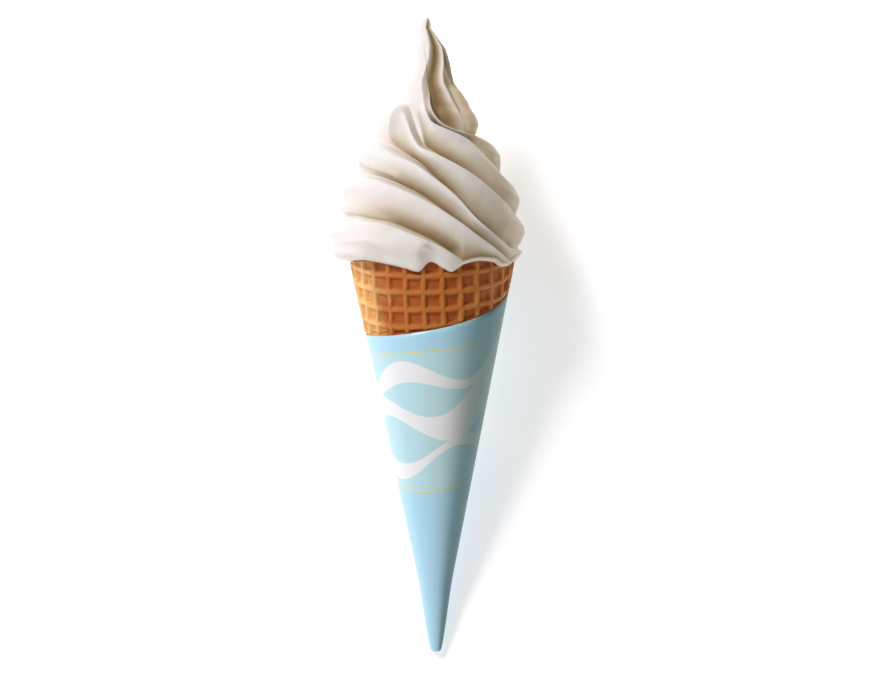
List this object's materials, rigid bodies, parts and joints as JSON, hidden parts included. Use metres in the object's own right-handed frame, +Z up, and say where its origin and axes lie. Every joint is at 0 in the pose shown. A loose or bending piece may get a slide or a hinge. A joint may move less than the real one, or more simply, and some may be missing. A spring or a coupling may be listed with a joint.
{
  "type": "ice cream cone",
  "caption": "Soft-serve swirl in a rolled waffle cone with a paper sleeve, lying on its back with the shown side up.",
  "frame": {"origin": "centre of the lying cone's bounding box in X and Y, on the floor it lies on", "axes": "+Y runs along the cone from its tip to the swirl's peak, +Z up, the shown side of the upright cone looks up"},
  "size_m": [0.068, 0.2156, 0.0654],
  "materials": {
    "soft_serve": "soft, slightly moist cream",
    "waffle_cone": "crisp baked wafer",
    "paper_sleeve": "satin coated paper"
  },
  "bodies": {
    "root": {"soft_serve": "soft_serve", "waffle_cone": "waffle_cone", "paper_sleeve": "paper_sleeve"}
  },
  "joints": []
}
